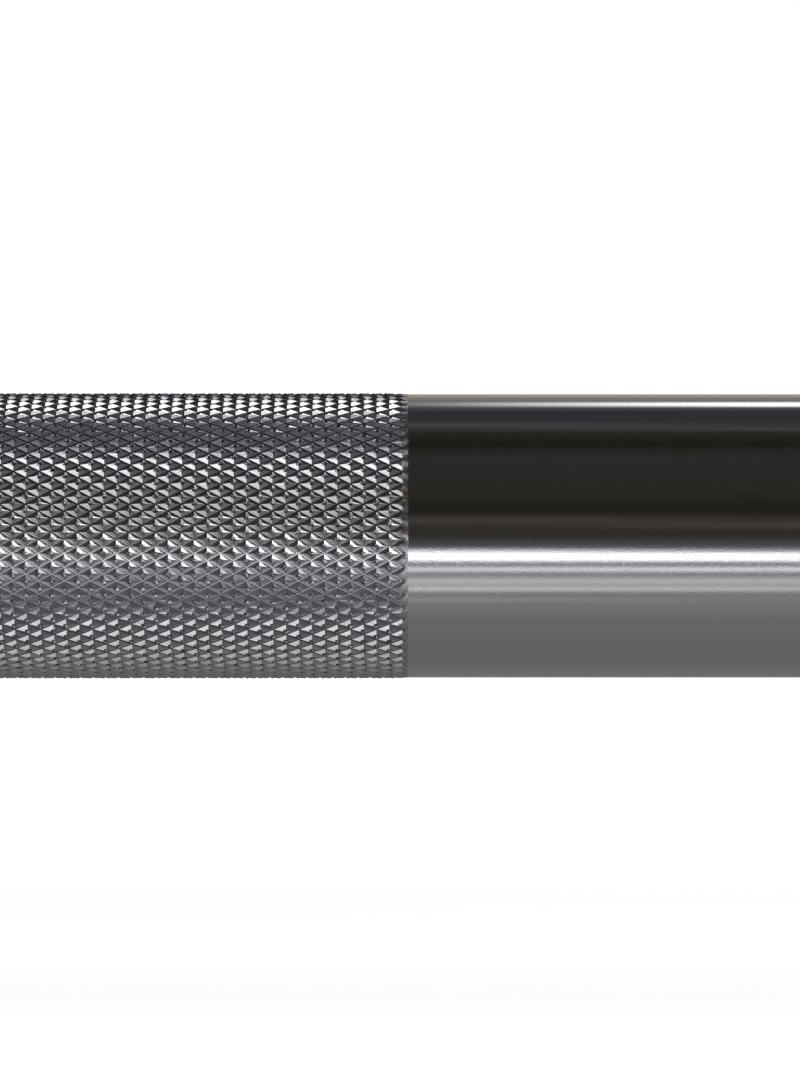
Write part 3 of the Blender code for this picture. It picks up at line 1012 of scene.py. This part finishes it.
def makeFloor():
    size, z = floorSettings["size"], floorSettings["height"]
    data = bpy.data.meshes.new("floor")
    corners = [(-size, -size, z), (size, -size, z), (size, size, z), (-size, size, z)]
    data.from_pydata(corners, [], [(0, 1, 2, 3)])
    floor = newObject("floor", data)
    material, tree, shader = newMaterial("pale floor")
    shader.inputs["Base Color"].default_value = floorSettings["colour"]
    shader.inputs["Roughness"].default_value = floorSettings["roughness"]
    path = addNode(tree, "ShaderNodeLightPath")
    lift = mathNode(tree, "MULTIPLY", path.outputs["Is Camera Ray"], floorSettings["lift"])
    shader.inputs["Emission Color"].default_value = (1, 1, 1, 1)
    tree.links.new(lift, shader.inputs["Emission Strength"])
    data.materials.append(material)
    floor.visible_glossy = False


# What the chrome mirrors, as the strength and tint of light by climb in degrees: 0 is level and in front
# of the bar, 90 is overhead, 180 behind. The room is dark in front and above, with pale paper below.
tints = {
    "plain": (1.0, 0.995, 1.03),
    "violet": (0.99, 0.975, 1.08),
    "cool": (0.97, 0.97, 1.14),
    "warm": (1.12, 1.0, 0.84),
    "mint": (0.95, 1.02, 1.03),
}
studio = {
    "middle": [
        (-180, 0.21, "plain"), (-100, 0.196, "plain"), (-72, 0.225, "plain"), (-56, 0.287, "plain"),
        (-48, 0.30, "plain"), (-45, 0.36, "plain"), (-30, 0.36, "plain"), (-22.8, 0.36, "violet"),
        (-21.2, 0.52, "violet"), (-20.2, 0.78, "violet"), (-19.4, 1.8, "plain"), (-14.4, 2.0, "plain"),
        (-13.4, 0.95, "violet"), (-12.2, 0.52, "violet"), (-10.6, 0.29, "violet"), (-8.8, 0.15, "violet"),
        (-7, 0.10, "plain"), (-3.5, 0.068, "plain"), (0, 0.042, "warm"), (16, 0.030, "warm"),
        (22, 0.019, "warm"), (37, 0.033, "warm"), (64, 0.037, "plain"), (72, 0.030, "warm"),
        (79, 0.017, "warm"), (91, 0.028, "warm"), (96, 0.045, "plain"), (121, 0.048, "cool"),
        (128, 0.10, "cool"), (136, 0.20, "plain"), (150, 0.24, "warm"), (160, 0.38, "plain"),
    ],
    "left": [
        (-180, 0.20, "plain"), (-92, 0.22, "plain"), (-78, 0.28, "plain"), (-64, 0.45, "plain"),
        (-52, 0.80, "plain"), (-36, 1.0, "plain"), (-17, 1.15, "plain"), (-12, 1.9, "plain"),
        (-7, 2.1, "plain"), (-1, 0.9, "plain"), (5, 0.40, "cool"), (13, 0.16, "cool"), (40, 0.12, "cool"),
        (52, 0.08, "cool"), (62, 0.035, "cool"), (84, 0.035, "cool"), (110, 0.02, "cool"),
        (180, 0.03, "cool"),
    ],
    "right": [
        (-180, 0.19, "plain"), (-62, 0.18, "plain"), (-42, 0.24, "plain"), (-26, 0.14, "cool"),
        (0, 0.13, "cool"), (38, 0.11, "cool"), (47, 0.75, "plain"), (54, 1.6, "plain"), (59, 2.3, "plain"),
        (72, 2.3, "plain"), (80, 1.2, "plain"), (88, 0.50, "plain"), (98, 0.07, "cool"),
        (130, 0.03, "cool"), (180, 0.03, "cool"),
    ],
    # Narrow strips added in the middle: (climb, half its width, strength at the left and at the right
    # end of what the photograph shows of the smooth shaft, tint)
    "strips": [
        (134.8, 7.5, 0.10, 2.2, "plain"), (-26.8, 3.7, 0.62, 0.72, "violet"),
        (-36.8, 5.4, 0.34, 0.32, "mint"), (-43.1, 4.2, 0.42, 0.32, "plain"),
        (-52.9, 3.4, 0.11, 0.00, "plain"), (-12.2, 3.4, 0.55, 0.0, "violet"),
        (101.5, 6.0, 0.045, 0.012, "cool"), (96.5, 4.5, 0.0, 0.035, "plain"),
        (12.5, 6.0, 0.038, 0.016, "warm"), (8.0, 5.0, 0.0, 0.036, "warm"),
    ],
    # How far along the bar a direction points, from 0 for straight on to 1: where the strips change over,
    # and where the room changes from its middle to its sides
    "stripsSpan": (0.005, 0.088),
    "side": (0.18, 0.30),
    "brightest": 4.0,
    "backdrop": 1.0,
    "fill": 0.55,
}


def makeWorld():
    world = bpy.data.worlds.new("studio")
    scene.world = world
    world.use_nodes = True
    tree = world.node_tree
    tree.nodes.clear()
    direction = addNode(tree, "ShaderNodeTexCoord").outputs["Generated"]
    parts = addNode(tree, "ShaderNodeSeparateXYZ", {0: direction}).outputs
    toward = mathNode(tree, "MULTIPLY", parts["Y"], -1.0)
    climb = mathNode(tree, "DIVIDE", mathNode(tree, "ARCTAN2", parts["Z"], toward), 2 * math.pi)
    spot = mathNode(tree, "ADD", climb, 0.5)

    def bands(rows):
        node = addNode(tree, "ShaderNodeValToRGB", {0: spot})
        elements = node.color_ramp.elements
        elements.remove(elements[-1])
        for i, (degrees, strength, tint) in enumerate(rows):
            at = (degrees + 180) / 360
            element = elements[0] if i == 0 else elements.new(at)
            element.position = at
            element.color = (*[strength * value / studio["brightest"] for value in tints[tint]], 1.0)
        return node.outputs[0]

    def mixed(kind, share, first, second):
        node = addNode(tree, "ShaderNodeMix", data_type="RGBA", blend_type=kind, clamp_result=False)
        for number, value in ((0, share), (6, first), (7, second)):
            giveSocket(tree, node.inputs[number], value)
        return node.outputs[2]

    def toSide(sign):
        outwards = mathNode(tree, "MULTIPLY", parts["X"], float(sign))
        return rangeNode(tree, outwards, studio["side"], kind="SMOOTHSTEP")

    middle = bands(studio["middle"])
    for degrees, halfWidth, atLeft, atRight, tint in studio["strips"]:
        away = mathNode(tree, "ABSOLUTE", mathNode(tree, "SUBTRACT", spot, (degrees + 180) / 360))
        shape = rangeNode(tree, away, (halfWidth / 360, 0.0), kind="SMOOTHSTEP")
        ends = (atLeft / studio["brightest"], atRight / studio["brightest"])
        power = rangeNode(tree, parts["X"], studio["stripsSpan"], ends)
        middle = mixed("ADD", mathNode(tree, "MULTIPLY", shape, power), middle, (*tints[tint], 1.0))

    room = mixed("MIX", toSide(-1), middle, bands(studio["left"]))
    room = mixed("MIX", toSide(1), room, bands(studio["right"]))
    mirrored = addNode(tree, "ShaderNodeBackground", {"Color": room, "Strength": studio["brightest"]})
    white = (1.0, 1.0, 1.0, 1.0)
    backdrop = addNode(tree, "ShaderNodeBackground", {"Color": white, "Strength": studio["backdrop"]})
    fill = addNode(tree, "ShaderNodeBackground", {"Color": white, "Strength": studio["fill"]})
    path = addNode(tree, "ShaderNodeLightPath").outputs
    lit = addNode(tree, "ShaderNodeMixShader", {
        0: path["Is Glossy Ray"], 1: fill.outputs[0], 2: mirrored.outputs[0],
    })
    seen = addNode(tree, "ShaderNodeMixShader", {
        0: path["Is Camera Ray"], 1: lit.outputs[0], 2: backdrop.outputs[0],
    })
    addNode(tree, "ShaderNodeOutputWorld", {"Surface": seen.outputs[0]})


# Soft lamps for everything that isn't polished: (name, place, size, power)
lamps = [
    ("soft lamp behind", (0.0, 4.2, 1.7), 2.4, 110.0),
    ("soft lamp in front", (-1.5, -4.0, 3.4), 3.0, 40.0),
]


def addLamps():
    for name, place, size, power in lamps:
        data = bpy.data.lights.new(name, "AREA")
        data.shape = "DISK"
        data.size = size
        data.energy = power
        lamp = newObject(name, data)
        lamp.location = place
        lamp.rotation_euler = (-Vector(place)).to_track_quat("-Z", "Y").to_euler()
        lamp.visible_glossy = False
        lamp.visible_camera = False


makeFloor()
makeWorld()
addLamps()
scene.view_settings.view_transform = "Standard"
print("floor, lights and surroundings set")
